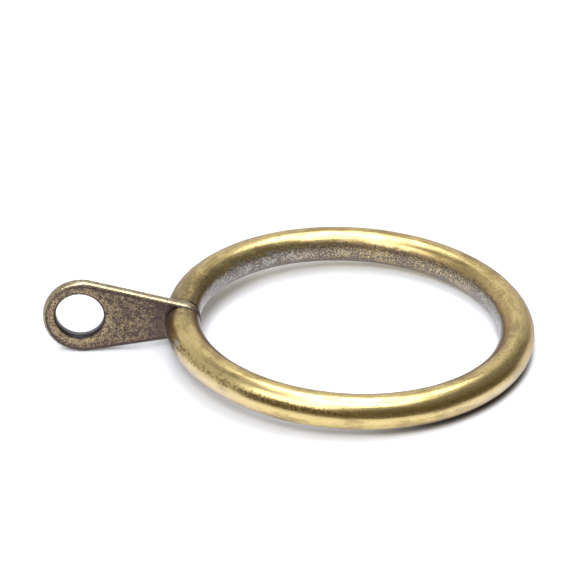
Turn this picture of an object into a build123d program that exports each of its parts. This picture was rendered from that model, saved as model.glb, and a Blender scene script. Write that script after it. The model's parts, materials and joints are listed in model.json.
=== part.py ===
"""Curtain ring with a fixed eyelet.

A round tube is bent into a ring, and its two ends close on the narrow end of a flat eyelet plate.
A short bent pin runs through the plate into both tube ends and keeps the three in line.
The ring lies in XY with its centre at the origin, and the eyelet points along -X.
"""
import os
from math import degrees

from build123d import *

# Ring tube, in millimetres
inner_diameter = 38.0
tube_diameter = 4.5
tube_wall = 0.6
tube_end_rounding = 0.15

# Eyelet plate, a tapered plate with its narrow end between the tube ends
plate_thickness = 1.5
plate_rounding = 0.3
plate_proud = 0.08
neck_length = 5.5

# Hole in the eye, punched a little outward and upward of the eye's centre
hole_diameter = 6.1
hole_rounding = 0.3
hole_shift_out = 0.3
hole_shift_up = 0.25
eye_rim = 1.95

# Pin through the joint
pin_depth = 3.0
pin_clearance = 0.05

# Sizes that follow from those above
tube_radius = tube_diameter / 2
bore_radius = tube_radius - tube_wall
ring_radius = inner_diameter / 2 + tube_radius
eye_radius = hole_diameter / 2 + eye_rim
eye_distance = ring_radius + tube_radius + neck_length + eye_radius
narrow_end_radius = tube_radius + plate_proud
pin_radius = bore_radius - pin_clearance
pin_half_angle = degrees((plate_thickness / 2 + pin_depth) / ring_radius)

# The plate stands in XZ, half of its thickness on each side
plate_plane = Plane.XZ.offset(-plate_thickness / 2)

os.makedirs("parts", exist_ok=True)

# Ring tube: a hollow ring with a gap of the plate's thickness, and flat ends against the plate
with BuildPart() as ring_tube:
    with BuildSketch(Plane.XZ):
        with Locations((ring_radius, 0)):
            Circle(tube_radius)
            Circle(bore_radius, mode=Mode.SUBTRACT)
    revolve(axis=Axis.Z)
    with Locations((-ring_radius, 0, 0)):
        Box(2 * tube_diameter, plate_thickness, 2 * tube_diameter, mode=Mode.SUBTRACT)
    end_faces = ring_tube.faces().filter_by(GeomType.PLANE)
    fillet([face.outer_wire().edge() for face in end_faces], radius=tube_end_rounding)
ring_tube.part.label = "ring_tube"

# Eyelet plate: a round eye that tapers to a round narrow end, with all its outer edges rounded
with BuildPart() as eyelet_plate:
    with BuildSketch(plate_plane):
        with Locations((-eye_distance, 0)):
            Circle(eye_radius)
        with Locations((-ring_radius, 0)):
            Circle(narrow_end_radius)
        make_hull()
    extrude(amount=plate_thickness)
    fillet(eyelet_plate.faces().filter_by(Axis.Y).edges(), radius=plate_rounding)

    # Hole for the curtain hook
    with BuildSketch(plate_plane):
        with Locations((-eye_distance - hole_shift_out, hole_shift_up)):
            Circle(hole_diameter / 2)
    extrude(amount=plate_thickness, mode=Mode.SUBTRACT)
    fillet(eyelet_plate.edges(Select.LAST).filter_by(GeomType.CIRCLE), radius=hole_rounding)

    # Hole for the joining pin, in line with the tube's bore
    with BuildSketch(plate_plane):
        with Locations((-ring_radius, 0)):
            Circle(bore_radius)
    extrude(amount=plate_thickness, mode=Mode.SUBTRACT)
eyelet_plate.part.label = "eyelet_plate"

# Joining pin: bent to the ring's curve, hidden inside the joint
with BuildPart() as joining_pin:
    with BuildSketch(Plane.XZ.rotated((0, 0, 180 - pin_half_angle))):
        with Locations((ring_radius, 0)):
            Circle(pin_radius)
    revolve(axis=Axis.Z, revolution_arc=2 * pin_half_angle)
joining_pin.part.label = "joining_pin"

export_step(ring_tube.part, "parts/ring_tube.step")
export_step(eyelet_plate.part, "parts/eyelet_plate.step")
export_step(joining_pin.part, "parts/joining_pin.step")
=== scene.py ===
"""Curtain ring with a fixed eyelet: an antique brass ring on a white sheet, under soft lamps."""
import json
from math import asin, cos, hypot, pi, radians, sin, sqrt

import bmesh
import bpy
from mathutils import Matrix, Vector


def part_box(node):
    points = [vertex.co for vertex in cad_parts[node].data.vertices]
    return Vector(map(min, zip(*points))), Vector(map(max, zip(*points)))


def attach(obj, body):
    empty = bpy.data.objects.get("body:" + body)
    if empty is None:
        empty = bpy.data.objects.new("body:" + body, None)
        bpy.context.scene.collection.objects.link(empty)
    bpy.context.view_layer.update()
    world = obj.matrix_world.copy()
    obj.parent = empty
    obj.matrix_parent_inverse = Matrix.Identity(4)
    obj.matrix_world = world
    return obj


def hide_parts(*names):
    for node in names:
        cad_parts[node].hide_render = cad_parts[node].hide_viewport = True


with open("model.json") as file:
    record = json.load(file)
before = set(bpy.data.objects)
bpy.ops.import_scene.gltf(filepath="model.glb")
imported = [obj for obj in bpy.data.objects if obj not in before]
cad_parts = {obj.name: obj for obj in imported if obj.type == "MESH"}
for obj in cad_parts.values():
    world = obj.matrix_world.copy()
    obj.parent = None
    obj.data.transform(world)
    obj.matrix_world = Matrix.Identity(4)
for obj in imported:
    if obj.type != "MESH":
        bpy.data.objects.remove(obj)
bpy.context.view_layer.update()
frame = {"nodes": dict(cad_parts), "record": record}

MM = 0.001

# Sizes read from the frame
ring_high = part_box("ring_tube")[1]
plate_low, plate_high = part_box("eyelet_plate")
tube_radius = ring_high.z
ring_radius = ring_high.x - tube_radius
eye_radius = plate_high.z
eye_distance = -plate_low.x - eye_radius
narrow_end_radius = plate_high.x + ring_radius
plate_thickness = 2 * plate_high.y
hook_hole = next(m for m in frame["record"]["mounts"] if m["name"] == "eyelet_hole")
hole_centre = Vector(hook_hole["pos_m"])
hole_radius = hook_hole["dims"]["r_mm"] * MM

# Sizes that the frame doesn't state
tube_wall = 0.6 * MM
tube_end_rounding = 0.15 * MM
plate_rounding = 0.5 * MM
hole_rounding = 0.3 * MM
tube_unevenness = 0.03 * MM
pin_hole_radius = tube_radius - tube_wall

# Sizes in millimetres, for the finishes
tube_mm = tube_radius / MM
ring_mm = ring_radius / MM
eye_mm = eye_distance / MM

# The part lies on the rim of its eye and on the far side of its ring
rest_tilt = asin((eye_radius - tube_radius) / (eye_distance + ring_radius))
rest_normal = Vector((-sin(rest_tilt), 0, cos(rest_tilt)))
eye_contact = Vector((-eye_distance, 0, 0)) - rest_normal * eye_radius

# Colours of the brass, of its patina and of what shows at a glancing angle; the rust colour also
# paints shade, and the pale one a reflection
POLISHED = (0.83, 0.655, 0.29, 1)
OLIVE = (0.5, 0.375, 0.16, 1)
RUST_AND_SHADE = (0.3, 0.185, 0.075, 1)
UMBER = (0.15, 0.1, 0.06, 1)
TAN = (0.6, 0.42, 0.16, 1)
PALE = (0.8, 0.72, 0.6, 1)
PATINA = (0.125, 0.11, 0.1, 1)
WORN = (0.56, 0.54, 0.5, 1)
WORN_GOLD = (0.8, 0.61, 0.26, 1)
EDGE_TINT = (0.56, 0.55, 0.66, 1)

# Colours of the plate: its oxide, its rubbed spots, its rim, and the painted shade and painted glint
# on the wall of its hole; the shade black also paints the ring's seam
OXIDE = (0.085, 0.055, 0.052, 1)
RUBBED = (0.68, 0.52, 0.28, 1)
RIM_GOLD = (0.66, 0.57, 0.38, 1)
RIM_BROWN = (0.3, 0.225, 0.135, 1)
SHADE_BLACK = (0.03, 0.025, 0.028, 1)
GLINT_GREY = (0.2, 0.19, 0.18, 1)

# Colours of the sheet, the dark card and the world
WHITE = (1, 1, 1, 1)
SHEET = (0.835, 0.855, 0.91, 1)
SHEET_AT_CONTACT = (0.08, 0.05, 0.035, 1)
SHEET_UNDER_TUBE = (0.17, 0.12, 0.1, 1)
FELT = (0.13, 0.105, 0.07, 1)


class Wire:
    """The output of a shader node; arithmetic on it adds Math nodes to the same tree."""

    def __init__(self, tree, socket=None):
        self.tree = tree
        self.socket = socket

    def other(self, output):
        """Another output of the same node."""
        return Wire(self.tree, self.socket.node.outputs[output])

    def node(self, kind, settings=None, inputs=None, output=0):
        """Adds a node, with its settings first and then a value or a wire for each socket."""
        made = self.tree.nodes.new(kind)
        for name, value in (settings or {}).items():
            setattr(made, name, value)
        for name, value in (inputs or {}).items():
            if isinstance(value, Wire):
                self.tree.links.new(value.socket, made.inputs[name])
            else:
                made.inputs[name].default_value = value
        return Wire(self.tree, made.outputs[output] if made.outputs else None)

    def math(self, operation, *values):
        return self.node("ShaderNodeMath", {"operation": operation}, dict(enumerate(values)))

    def __add__(self, other):
        return self.math("ADD", self, other)

    def __sub__(self, other):
        return self.math("SUBTRACT", self, other)

    def __mul__(self, other):
        return self.math("MULTIPLY", self, other)

    def __truediv__(self, other):
        return self.math("DIVIDE", self, other)

    def __neg__(self):
        return self.math("MULTIPLY", self, -1.0)

    def __radd__(self, other):
        return self.math("ADD", other, self)

    def __rsub__(self, other):
        return self.math("SUBTRACT", other, self)

    def __rmul__(self, other):
        return self.math("MULTIPLY", other, self)

    def __abs__(self):
        return self.math("ABSOLUTE", self)

    def between(self, low, high):
        """0 below low and 1 above high, with a smooth step from one to the other."""
        settings = {"interpolation_type": "SMOOTHSTEP"}
        return self.node("ShaderNodeMapRange", settings, {0: self, 1: low, 2: high, 3: 0.0, 4: 1.0})

    def most(self, other):
        return self.math("MAXIMUM", self, other)

    def least(self, other):
        return self.math("MINIMUM", self, other)

    def long(self, other):
        """The length of a line that runs this far one way and the other value across it."""
        return self.math("SQRT", self * self + other * other)

    def swing(self, reach):
        """This noise as a swing around 0, by half of reach to each side."""
        return (self - 0.5) * reach

    def noise(self, size, detail=2.0, distortion=0.0, roughness=0.5):
        """Noise whose spots are about size across, in the unit of this vector."""
        inputs = {
            "Vector": self,
            "Scale": 1 / size,
            "Detail": detail,
            "Roughness": roughness,
            "Distortion": distortion,
        }
        return self.node("ShaderNodeTexNoise", None, inputs)

    def blend(self, low, high):
        """Low where this is 0 and high where it is 1, for colours."""
        return self.node("ShaderNodeMix", {"data_type": "RGBA"}, {0: self, 6: low, 7: high}, 2)


def new_material(name):
    """A material with an empty tree; returns it and a wire to start from."""
    material = bpy.data.materials.new(name)
    material.use_nodes = True
    material.node_tree.nodes.clear()
    return material, Wire(material.node_tree)


def finish_metal(start, inputs, height, depth):
    """A lacquered metal surface, with a height from 0 to 1 raised by depth as its fine relief."""
    sockets = {"Specular Tint": EDGE_TINT, "Coat Weight": 0.3, "Coat Roughness": 0.2}
    sockets.update(inputs)
    bump = {"Strength": 1.0, "Distance": depth, "Height": height}
    sockets["Normal"] = start.node("ShaderNodeBump", None, bump)
    surface = start.node("ShaderNodeBsdfPrincipled", None, sockets)
    start.node("ShaderNodeOutputMaterial", None, {"Surface": surface})


def object_place(start):
    """Where a point of the piece is, in millimetres, as a vector and its three parts."""
    place = start.node("ShaderNodeTexCoord", output="Object")
    to_mm = (1 / MM, 1 / MM, 1 / MM)
    place = start.node("ShaderNodeMapping", None, {"Vector": place, "Scale": to_mm})
    x = start.node("ShaderNodeSeparateXYZ", None, {"Vector": place})
    return place, x, x.other("Y"), x.other("Z")


def around_tube(x, y):
    """How far a point is outward from the tube's middle line, and how far along it."""
    return x.long(y) - ring_mm, x.math("ARCTAN2", y, x) * ring_mm


def drawn_place(along, across, z, share):
    """A place for noise that is drawn out along the tube: only this share of the length counts."""
    return along.node("ShaderNodeCombineXYZ", None, {0: along * share, 1: across, 2: z})


def ring_finish():
    """Polished outside and dark inside, where the polishing wheel didn't reach.

    Outward, upward and inward count in tube radii, and places and lengths in millimetres.
    """
    material, start = new_material("antique ring brass")
    place, x, y, z = object_place(start)
    across, along = around_tube(x, y)
    outward = across / tube_mm
    upward = z / tube_mm
    outside = outward.between(0.3, 0.9)
    left = (-x).between(0, 5)
    front = (-y).between(-0.1, 0.4)

    # Noises, the finest first; three are drawn out along the tube, as polishing marks are
    drawn = drawn_place(along, across, z, 0.45)
    worn_specks = place.noise(0.2, 3.0, 0.8)
    pits = place.noise(0.26, 3.0, 0.4)
    fine = drawn.noise(0.28, 2.5, 0.0, 0.55)
    rust_specks = place.noise(0.36, 3.0, 0.5)
    lines = drawn_place(along, across, z, 0.06).noise(0.4, 2.0)
    ragged = place.noise(0.7, 3.0)
    broad = drawn.noise(1.5, 3.0, 0.3)
    patches = place.noise(1.6, 2.0)

    # The patina faces the middle of the ring and a little downward
    patina_facing = radians(198)
    inward = (across * cos(patina_facing) + z * sin(patina_facing)) / tube_mm
    patina = (inward + ragged.swing(0.7) + fine.swing(0.5)).between(0.62, 0.78)

    # Its border is darker, except at the left
    border = inward + ragged.swing(0.35) + fine.swing(0.2)
    border = border.between(0.52, 0.66) * (1 - border.between(0.74, 0.9)) * x.between(-14, 0)

    # It is rubbed through in specks, golden at the back and grey elsewhere, and is browner below, a
    # painted shade where the underside faces the shaded sheet
    golden_side = radians(68)
    golden = (x * cos(golden_side) + y * sin(golden_side)) / ring_mm
    worn = golden.between(0.5, 0.95).blend(WORN, WORN_GOLD)
    speckle = (worn_specks + broad.swing(0.36)).between(0.48, 0.62)
    # Painted shade on the underside: the patina turns browner low down and its coat thins
    low = (-z).between(0.6, 1.6)
    patina_colour = fine.between(0.35, 0.7).blend(PATINA, UMBER)
    patina_colour = (speckle * 0.7).blend(patina_colour, worn)
    patina_colour = (low * 0.75).blend(patina_colour, UMBER)

    # Near the joint the brass is browner, over a longer stretch at the back than at the front
    from_joint = abs(y) - plate_thickness / 2 / MM
    joint_reach = 12 - front * 7
    browner = (1 - ((from_joint + broad.swing(8)) / joint_reach).between(0.1, 1.0)) * left

    # The joint has a dark stain on its outside, longest low at the front, and a painted shade along
    # the seam
    stain_growth = (1 - upward.between(0.1, 0.75)) * front * 5.5
    stain = (1 - (from_joint + ragged.swing(4) - stain_growth).between(0.5, 3.4)) * left
    stain = stain * (outward + fine.swing(0.4)).between(-0.1, 0.6)
    seam_shade = (1 - (from_joint + fine.swing(0.1)).between(0.3, 0.44)) * left * (0.5 + front * 0.5)

    # Polished brass with olive clouds and polishing lines
    pits = (pits + patches.swing(0.25)).between(0.49, 0.6)
    mottle = broad * 0.52 + fine * 0.2 + lines * 0.28 + inward * 0.05 + browner * 0.07 + pits * 0.02
    brass = mottle.between(0.43, 0.6).blend(POLISHED, OLIVE)

    # Rust specks, most of all in a belt along the outer front at the left, and some at the right
    belt = 1 - abs(z - 1.0 + ragged.swing(0.5)).between(0.25, 0.7)
    belt = belt * outside * (-x).between(-5, 6) * front
    rust = rust_specks + inward * 0.08 + browner * 0.08
    rust = rust + belt * (0.2 + ragged.swing(0.6)) + x.between(6, 18) * 0.06
    brass = (rust.between(0.57, 0.71) * (0.5 + belt * 0.2)).blend(brass, RUST_AND_SHADE)

    # The front is painted dark in the rust colour where it turns inward, a painted shade along its
    # inner edge
    front_inner_shade = inward.between(-0.12, 0.2) * (-y).between(-8, 6)
    brass = (front_inner_shade * 0.8).blend(brass, RUST_AND_SHADE)

    # At the right the upper half is tan on both sides of its top line
    upper = z.between(-0.3, 1.0)
    flanks = abs(outward).between(0.25, 0.8) * x.between(-5, 18) * upper
    brass = (flanks * 0.5).blend(brass, TAN)

    # The outside is painted paler low at the left and right, a painted reflection of the sheet,
    # painted darker at the back as painted shade, and is umber near the joint
    low_outer_reflection = outside * (1 - upper) * abs(x).between(8, 20)
    brass = (low_outer_reflection * 0.45).blend(brass, PALE)
    outer_rear_shade = outside * y.between(-8, 12)
    brass = (outer_rear_shade * 0.72).blend(brass, RUST_AND_SHADE)
    brass = (browner * (0.08 + ragged.between(0.42, 0.6) * 0.4)).blend(brass, UMBER)

    # A small chip in the finish beside the joint
    chip_centre = (-22.0, -7.8, 0.9)
    settings = {"operation": "DISTANCE"}
    from_chip = place.node("ShaderNodeVectorMath", settings, {0: place, 1: chip_centre}, 1)
    chip = 1 - (from_chip + ragged.swing(0.5)).between(0.5, 0.75)

    dark = (stain * 0.9).most(border * 0.55)
    colour = patina.blend(brass, patina_colour)
    colour = dark.blend(colour, UMBER)
    # Painted shade in the seam between the tube and the plate
    colour = seam_shade.blend(colour, SHADE_BLACK)
    colour = (chip * 0.7).blend(colour, PALE)
    # Aged places, and the painted shade at the outer back, are rougher and less metallic
    aged_and_shaded = patina.most(dark).most(outer_rear_shade * 0.8)
    inputs = {
        "Base Color": colour,
        "Metallic": 1 - aged_and_shaded * 0.2,
        "Roughness": 0.25 + broad * 0.06 + aged_and_shaded * 0.12,
        "Coat Weight": 0.18 + patina * (0.8 - low * 0.65),
    }
    height = fine * 0.14 + ragged * 0.22 + lines * 0.64
    finish_metal(start, inputs, height, 0.034 * MM)
    return material


def plate_finish():
    """Dark oxide with brass rubbed through in short curls, and bare brass on the edges."""
    material, start = new_material("dark plate brass")
    place, x, y, z = object_place(start)

    # How far a point is inside the plate's outline, which tapers from the eye to the joint
    taper = (eye_radius - narrow_end_radius) / (eye_distance - ring_radius)
    lean = taper / sqrt(1 - taper * taper)
    span = eye_mm - ring_mm
    past_eye = x + eye_mm
    share = ((past_eye - abs(z) * lean) / span).most(0.0).least(1.0)
    from_spine = (past_eye - share * span).long(z)
    inside = eye_radius / MM - share * ((eye_radius - narrow_end_radius) / MM) - from_spine

    # The rim is bare brass, in a band that is painted wider at the top and round the eye's outer end,
    # a painted highlight of the rounded edge
    fine = place.noise(0.16, 3.0)
    ragged = place.noise(0.5, 3.0)
    eye_end = (-x).between(31, 36)
    highlight_widening = z.between(-3.0, 2.5).most(eye_end * 0.7) * 0.22
    rim = 1 - (inside + ragged.swing(0.2) - highlight_widening).between(0.08, 0.22)
    rim_colour = (fine * 0.7 + ragged * 0.3).between(0.43, 0.55).blend(RIM_GOLD, RIM_BROWN)

    # It fades downward, a painted shade on the lower edge, and inside the ring the plate's end stays
    # dark
    in_ring = (x + ring_mm).between(1.2, 2.0)
    rim = rim * (1 - in_ring) * z.between(-9.5, 1.5).most(eye_end * 0.8)

    # Short curls and grains of brass on the faces, fewer near the ring, where the neck gets a painted
    # shade from the ring
    bent = place.noise(0.5, 2.0, 2.6)
    curls = (1 - abs(bent - 0.5).between(0.015, 0.045)) * place.noise(0.8, 2.0).between(0.44, 0.52)
    grains = place.noise(0.2, 2.0, 0.8).between(0.56, 0.66)
    near_ring_shade = (x + (ring_mm + tube_mm)).between(-3.2, -0.5)
    rubbed = curls.most(grains * 0.6) * inside.between(0.5, 0.75) * (1 - near_ring_shade * 0.7)

    # A band around the hook hole is rubbed more
    from_hole = (x - hole_centre.x / MM).long(z - hole_centre.z / MM) - hole_radius / MM
    band = from_hole.between(0.2, 0.5) * (1 - from_hole.between(0.8, 1.3))
    band = band * (ragged * 0.3 + fine * 0.7 - z * 0.006).between(0.5, 0.55)

    # The wall of the hole is painted dark at the front, a painted shade in the hole, and painted grey
    # toward the back, a painted glint
    wall = 1 - from_hole.between(0.1, 0.34)
    wall_shade_and_glint = y.between(-0.35, 0.1).blend(SHADE_BLACK, GLINT_GREY)

    colour = rubbed.most(band * 0.85).blend(OXIDE, RUBBED)
    colour = wall.blend(colour, wall_shade_and_glint)
    colour = rim.blend(colour, rim_colour)
    bare = rim.most(rubbed * (1 - wall))
    inputs = {
        "Base Color": colour,
        "Metallic": 0.85 + bare * 0.15,
        "Roughness": 0.42 - bare * 0.12 + fine * 0.06,
    }
    height = rubbed * 0.5 + ragged * 0.3 + fine * 0.2
    finish_metal(start, inputs, height, 0.03 * MM)
    return material


def pin_finish():
    """Plain drawn brass with fine lines along the pin."""
    material, start = new_material("plain pin brass")
    x, y, z = object_place(start)[1:]
    across, along = around_tube(x, y)
    lines = drawn_place(along, across, z, 0.1).noise(0.12, 2.0)
    colour = lines.between(0.3, 0.7).blend(POLISHED, OLIVE)
    inputs = {"Base Color": colour, "Metallic": 1.0, "Roughness": 0.3 + lines * 0.1}
    finish_metal(start, inputs, lines, 0.005 * MM)
    return material


def deselect():
    """Nothing stays selected, so that the next tool acts on its own piece alone."""
    bpy.ops.object.select_all(action="DESELECT")


def pick(piece, kind, wanted):
    """In edit mode, selects the vertices, edges or faces for which wanted holds."""
    bpy.ops.mesh.select_mode(type=kind)
    bpy.ops.mesh.select_all(action="DESELECT")
    mesh = bmesh.from_edit_mesh(piece.data)
    items = {"VERT": mesh.verts, "EDGE": mesh.edges, "FACE": mesh.faces}[kind]
    for item in items:
        if wanted(item):
            item.select_set(True)
    bmesh.update_edit_mesh(piece.data)


def apply_modifier(piece, kind, **settings):
    """Adds a modifier, sets it and applies it at once."""
    bpy.context.view_layer.objects.active = piece
    modifier = piece.modifiers.new(kind.lower(), kind)
    for name, value in settings.items():
        setattr(modifier, name, value)
    bpy.ops.object.modifier_apply(modifier=modifier.name)


def settle(piece, material):
    """Applies the piece's place, and gives it its finish and smooth shading."""
    deselect()
    piece.select_set(True)
    bpy.context.view_layer.objects.active = piece
    bpy.ops.object.transform_apply(location=True, rotation=True, scale=True)
    piece.data.materials.clear()
    piece.data.materials.append(material)
    bpy.ops.object.shade_smooth_by_angle(angle=radians(40))


def from_tube_centre(point):
    """How far a point is from the middle line of the tube."""
    return hypot(hypot(point.x, point.y) - ring_radius, point.z)


def make_ring():
    """The tube: a torus, cut open at the plate, given its wall, with its ends rounded."""
    deselect()
    bpy.ops.mesh.primitive_torus_add(
        major_radius=ring_radius,
        minor_radius=tube_radius,
        major_segments=240,
        minor_segments=64,
    )
    ring = bpy.context.object
    ring.name = "ring"
    half_gap = plate_thickness / 2
    near = 3 * half_gap
    bpy.ops.object.mode_set(mode="EDIT")

    def at_gap(face):
        centre = face.calc_center_median()
        return centre.x < 0 and abs(centre.y) < near

    def in_gap(face):
        centre = face.calc_center_median()
        return centre.x < 0 and abs(centre.y) < half_gap

    for side in (half_gap, -half_gap):
        pick(ring, "FACE", at_gap)
        bpy.ops.mesh.bisect(plane_co=(0, side, 0), plane_no=(0, 1, 0))
    pick(ring, "FACE", in_gap)
    bpy.ops.mesh.delete(type="FACE")
    bpy.ops.object.mode_set(mode="OBJECT")

    # Slight unevenness of a bent and polished tube, inward only
    unevenness = bpy.data.textures.new("unevenness", "CLOUDS")
    unevenness.noise_scale = 3 * MM
    apply_modifier(ring, "DISPLACE", texture=unevenness, strength=tube_unevenness, mid_level=1.0)
    apply_modifier(ring, "SOLIDIFY", thickness=tube_wall, offset=-1.0, use_even_offset=True)

    # Both ends are made flat again, then their outer edges are rounded
    uneven_end = 0.1 * MM
    flat_end = 0.001 * MM
    bpy.ops.object.mode_set(mode="EDIT")
    for side in (half_gap, -half_gap):

        def at_end(vertex):
            point = vertex.co
            return point.x < 0 and abs(point.y - side) < uneven_end

        pick(ring, "VERT", at_end)
        bpy.ops.transform.resize(value=(1, 0, 1), center_override=(0, side, 0))

    def outer_end_edge(edge):
        ends = [vertex.co for vertex in edge.verts]
        flat = all(point.x < 0 and abs(abs(point.y) - half_gap) < flat_end for point in ends)
        return flat and all(from_tube_centre(point) > tube_radius - tube_wall / 2 for point in ends)

    pick(ring, "EDGE", outer_end_edge)
    bpy.ops.mesh.bevel(offset=tube_end_rounding, segments=3, affect="EDGES")
    bpy.ops.object.mode_set(mode="OBJECT")
    settle(ring, ring_finish())
    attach(ring, "root")
    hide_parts("ring_tube")


def add_disc(centre, radius, depth, vertices):
    """A round blank that stands in XZ, added to what is being edited or as a new piece."""
    bpy.ops.mesh.primitive_cylinder_add(
        vertices=vertices,
        radius=radius,
        depth=depth,
        location=centre,
        rotation=(pi / 2, 0, 0),
    )


def make_plate():
    """The eyelet plate: two discs joined by a hull, with a rounded rim, and its holes cut through."""
    joint_centre = Vector((-ring_radius, 0, 0))
    deselect()
    add_disc(hole_centre, hole_radius, 3 * plate_thickness, 96)
    cutter = bpy.context.object
    bpy.ops.object.mode_set(mode="EDIT")
    add_disc(joint_centre, pin_hole_radius, 3 * plate_thickness, 48)
    bpy.ops.object.mode_set(mode="OBJECT")

    deselect()
    add_disc((-eye_distance, 0, 0), eye_radius, plate_thickness, 128)
    plate = bpy.context.object
    plate.name = "eyelet"
    bpy.ops.object.mode_set(mode="EDIT")
    add_disc(joint_centre, narrow_end_radius, plate_thickness, 96)
    bpy.ops.mesh.select_all(action="SELECT")
    bpy.ops.mesh.convex_hull()
    bpy.ops.mesh.select_all(action="SELECT")
    bpy.ops.mesh.dissolve_limited(angle_limit=radians(0.5))
    bpy.ops.mesh.select_all(action="SELECT")
    bpy.ops.mesh.normals_make_consistent(inside=False)

    def rim_edge(edge):
        return len(edge.link_faces) == 2 and edge.calc_face_angle() > radians(60)

    pick(plate, "EDGE", rim_edge)
    bpy.ops.mesh.bevel(offset=plate_rounding, segments=4, affect="EDGES")
    bpy.ops.object.mode_set(mode="OBJECT")

    apply_modifier(plate, "BOOLEAN", object=cutter, operation="DIFFERENCE", solver="EXACT")
    bpy.data.objects.remove(cutter)

    # Only the hook hole has rounded edges
    plate_turn = plate.matrix_world.copy()
    slack = 0.01 * MM

    def hook_hole_edge(edge):
        ends = [plate_turn @ vertex.co for vertex in edge.verts]
        on_one_face = abs(ends[0].y - ends[1].y) < slack
        return on_one_face and all(
            abs(hypot(point.x - hole_centre.x, point.z - hole_centre.z) - hole_radius) < slack
            and abs(abs(point.y) - plate_thickness / 2) < slack
            for point in ends
        )

    bpy.ops.object.mode_set(mode="EDIT")
    pick(plate, "EDGE", hook_hole_edge)
    bpy.ops.mesh.bevel(offset=hole_rounding, segments=4, affect="EDGES")
    bpy.ops.object.mode_set(mode="OBJECT")
    settle(plate, plate_finish())
    apply_modifier(plate, "WEIGHTED_NORMAL", keep_sharp=True, weight=80)
    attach(plate, "root")
    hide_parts("eyelet_plate")


def dress_pin():
    """The hidden pin keeps its own mesh and gets its brass."""
    pin = frame["nodes"]["joining_pin"]
    material = pin_finish()
    for place in pin.material_slots:
        place.material = material


def open_around(start, reach):
    """How open a point is, from 0 to 1, when only what is within reach counts."""
    distance = {"Distance": reach}
    return start.node("ShaderNodeAmbientOcclusion", {"samples": 8}, distance, "AO")


def add_floor():
    """A white sheet in the plane that the part rests on; close under the part it is darker.

    Its x and y count in millimetres from where the eye touches it, so the ring's middle is at x 34.
    """
    bpy.ops.mesh.primitive_plane_add(size=8, location=eye_contact, rotation=(0, -rest_tilt, 0))
    floor = bpy.context.object
    floor.name = "floor"
    material, start = new_material("white sheet")
    x, y = object_place(start)[1:3]
    seen = start.node("ShaderNodeLightPath", output="Is Camera Ray")
    mirrored = seen.other("Is Glossy Ray").most(seen.other("Is Transmission Ray"))

    # Contact shade under the front of the ring, growing to the right
    contact_side = x.between(5, 32) * (1 - y.between(-8, 8))
    lit = open_around(start, 1.05 * MM).between(0.2, 1.0).most(1 - contact_side)
    shade = lit.blend(SHEET_AT_CONTACT, SHEET)

    # A wider shade under the raised left side of the ring, toward the back
    raised_side = x.between(8, 14) * (1 - x.between(13, 25)) * y.between(-4, 4)
    under = (1 - open_around(start, 4 * MM)).between(0.41, 0.52) * raised_side
    shade = (under * 0.9).blend(shade, SHEET_UNDER_TUBE)
    paper = start.node("ShaderNodeBsdfDiffuse", None, {"Color": shade})

    # The sheet also glows for the camera and in reflections, where the glow fades with distance
    far = (x - eye_mm).long(y).between(28, 60)
    strength = lit * (seen + mirrored * (0.95 - far * 0.45))
    glow = start.node("ShaderNodeEmission", None, {"Color": WHITE, "Strength": strength})
    share = seen * 0.1 + mirrored * 0.6
    surface = start.node("ShaderNodeMixShader", None, {0: share, 1: paper, 2: glow})
    start.node("ShaderNodeOutputMaterial", None, {"Surface": surface})
    floor.data.materials.append(material)


def add_dark_card():
    """A low dark card in front of the ring, which only its reflections show."""
    centre = Vector((-8, 18, 0)) * MM
    reach = 52 * MM
    foot = -8 * MM
    top = 9 * MM
    rear_end = -0.35 * reach
    left_end = -28 * MM
    bpy.ops.mesh.primitive_circle_add(vertices=96, radius=reach, location=centre)
    card = bpy.context.object
    card.name = "dark_card"
    bpy.ops.object.mode_set(mode="EDIT")
    pick(card, "VERT", lambda vertex: vertex.co.y > rear_end or vertex.co.x < left_end)
    bpy.ops.mesh.delete(type="VERT")
    bpy.ops.mesh.select_all(action="SELECT")
    bpy.ops.transform.translate(value=(0, 0, foot))
    bpy.ops.mesh.extrude_region_move(TRANSFORM_OT_translate={"value": (0, 0, top - foot)})
    bpy.ops.object.mode_set(mode="OBJECT")
    material, start = new_material("dark card")
    felt = start.node("ShaderNodeBsdfDiffuse", None, {"Color": FELT})
    start.node("ShaderNodeOutputMaterial", None, {"Surface": felt})
    card.data.materials.append(material)
    card.visible_camera = False
    card.visible_shadow = False
    card.visible_diffuse = False


def add_world():
    """A dark room in front and to the right, with pale walls behind and to the left."""
    world = bpy.data.worlds.new("studio")
    bpy.context.scene.world = world
    world.use_nodes = True
    world.node_tree.nodes.clear()
    start = Wire(world.node_tree)
    direction = start.node("ShaderNodeTexCoord", output="Generated")
    x = start.node("ShaderNodeSeparateXYZ", None, {"Vector": direction})
    y = x.other("Y")
    room_level = 0.175
    behind_level = 0.6
    left_level = 0.36
    behind_facing = radians(108)
    behind = (x * cos(behind_facing) + y * sin(behind_facing)).between(0.3, 0.9) * behind_level
    left = (-x).between(0.35, 0.9) * left_level
    level = room_level + behind.most(left)

    # The camera itself sees white
    seen = start.node("ShaderNodeLightPath", output="Is Camera Ray")
    level = level * (1 - seen) + seen
    background = start.node("ShaderNodeBackground", None, {"Color": WHITE, "Strength": level})
    start.node("ShaderNodeOutputWorld", None, {"Surface": background})


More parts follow.
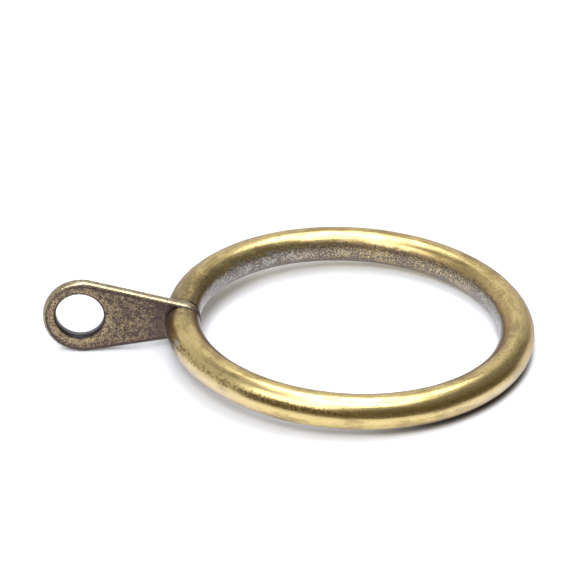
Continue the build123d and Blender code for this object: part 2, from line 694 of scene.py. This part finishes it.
def add_soft_light(name, azimuth, elevation, lengthwise, width, length, watts, mirrored=True):
    """A rectangular lamp that faces the part; azimuth 90 is behind it and elevation 90 above."""
    lamp_distance = 0.8
    turn = radians(azimuth)
    rise = radians(elevation)
    toward = Vector((cos(turn) * cos(rise), sin(turn) * cos(rise), sin(rise)))
    across = Vector(lengthwise).cross(toward).normalized()
    along = toward.cross(across)
    data = bpy.data.lights.new(name, "AREA")
    data.shape = "RECTANGLE"
    data.size = width
    data.size_y = length
    data.energy = watts
    lamp = bpy.data.objects.new(name, data)
    lamp.location = toward * lamp_distance
    lamp.rotation_mode = "QUATERNION"
    lamp.rotation_quaternion = Matrix((across, along, toward)).transposed().to_quaternion()
    lamp.visible_glossy = mirrored
    bpy.context.collection.objects.link(lamp)


def add_camera():
    """The photograph's view: 30 degrees above the ring, level with the sheet."""
    location = Vector((-20.87, -459.63, 265.58)) * MM
    aim = Vector((-7.84, 8.90, 0)) * MM
    roll = radians(2.853)
    data = bpy.data.cameras.new("camera")
    data.lens = 261.28
    data.sensor_width = 36
    data.clip_start = 0.01
    data.clip_end = 50
    camera = bpy.data.objects.new("camera", data)
    camera.location = location
    camera.rotation_mode = "QUATERNION"
    level = (location - aim).to_track_quat("Z", "Y")
    camera.rotation_quaternion = level @ Matrix.Rotation(roll, 3, "Z").to_quaternion()
    bpy.context.collection.objects.link(camera)
    bpy.context.scene.camera = camera


make_ring()
make_plate()
dress_pin()
add_floor()
add_dark_card()
add_world()
add_soft_light(
    "overhead softbox",
    azimuth=40,
    elevation=85,
    lengthwise=(0, 1, 0),
    width=0.58,
    length=0.94,
    watts=7.2,
)
add_soft_light(
    "front left softbox",
    azimuth=-130,
    elevation=47,
    lengthwise=(0, 0, 1),
    width=0.62,
    length=0.37,
    watts=2.1,
)
add_soft_light(
    "shadow lamp",
    azimuth=-103,
    elevation=47,
    lengthwise=(0, 0, 1),
    width=0.25,
    length=0.25,
    watts=3.3,
    mirrored=False,
)
add_camera()

scene = bpy.context.scene
scene.view_settings.view_transform = "Standard"
